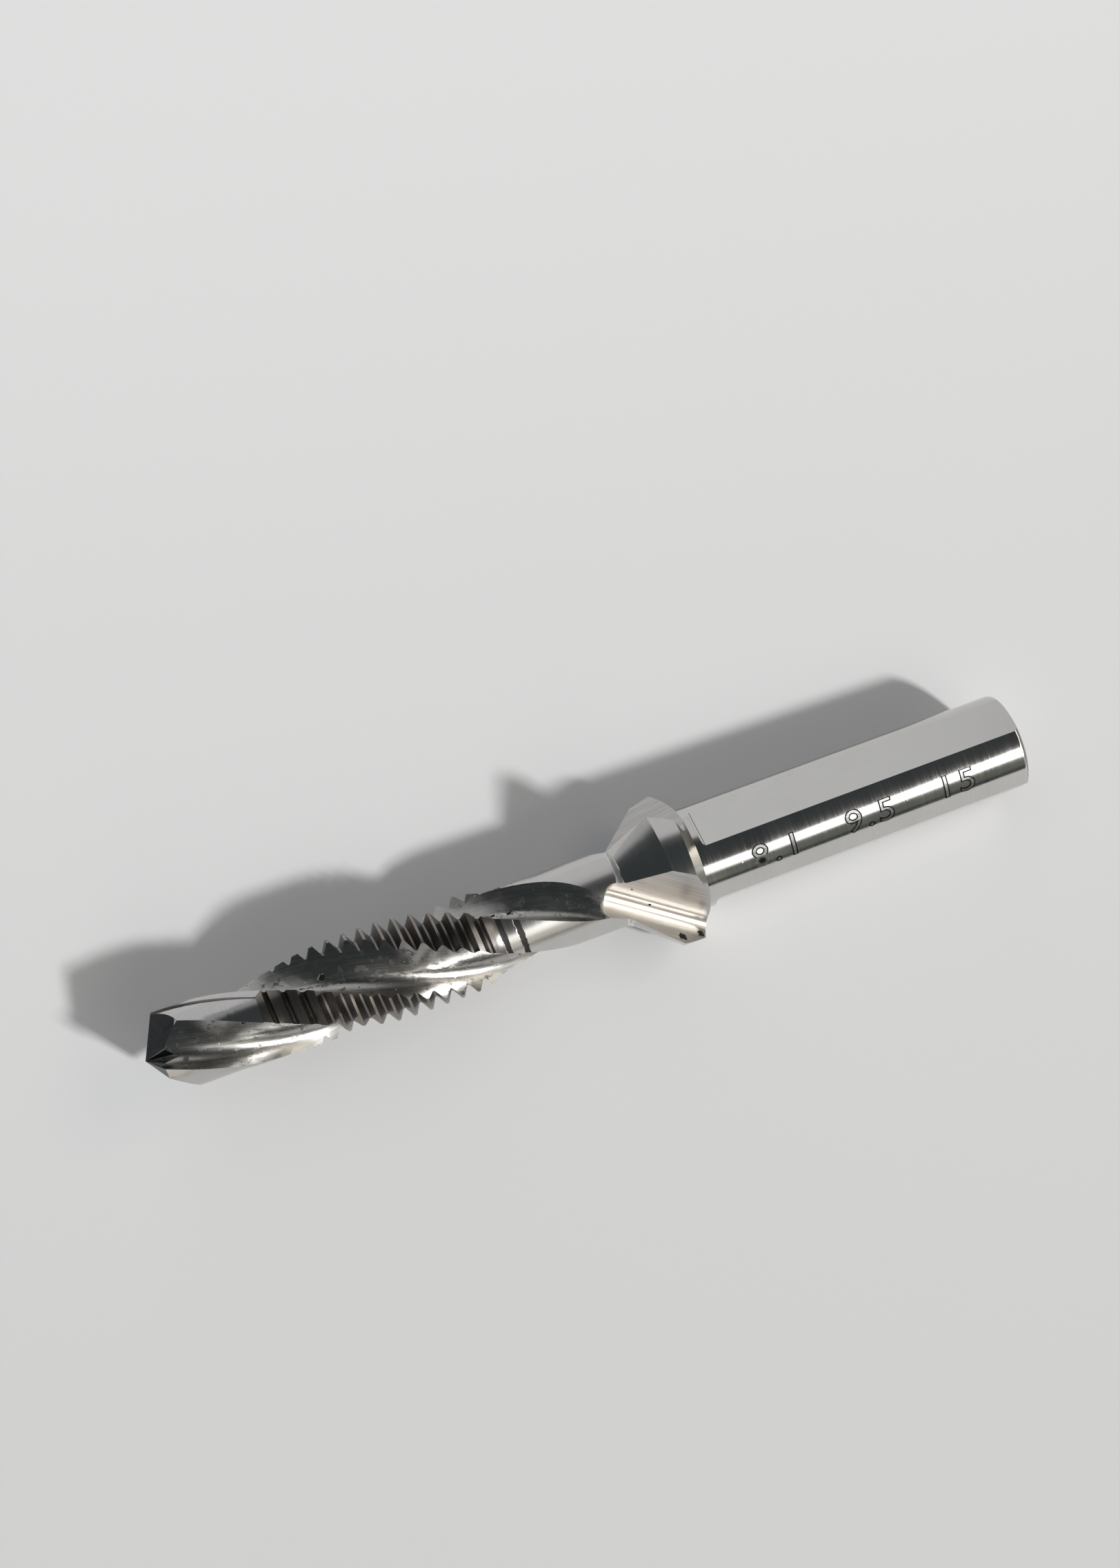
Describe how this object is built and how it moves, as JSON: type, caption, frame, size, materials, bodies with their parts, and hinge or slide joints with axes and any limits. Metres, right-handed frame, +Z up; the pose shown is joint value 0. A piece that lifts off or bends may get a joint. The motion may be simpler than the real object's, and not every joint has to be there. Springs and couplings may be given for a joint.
{
  "type": "combination drill tap bit",
  "caption": "Combination bit that drills, taps and countersinks: lipped point, helical flutes, right-hand thread, plain neck, winged countersink and a flatted shank.",
  "frame": {"origin": "on the surface that the tool lies on, under the centre of its bounding box", "axes": "+X runs from the drill point to the end of the shank, +Z up"},
  "size_m": [0.0882, 0.015, 0.0139],
  "materials": {
    "tool_steel": "ground and polished high speed steel"
  },
  "bodies": {
    "root": {"drill_tap_bit": "tool_steel"}
  },
  "joints": []
}
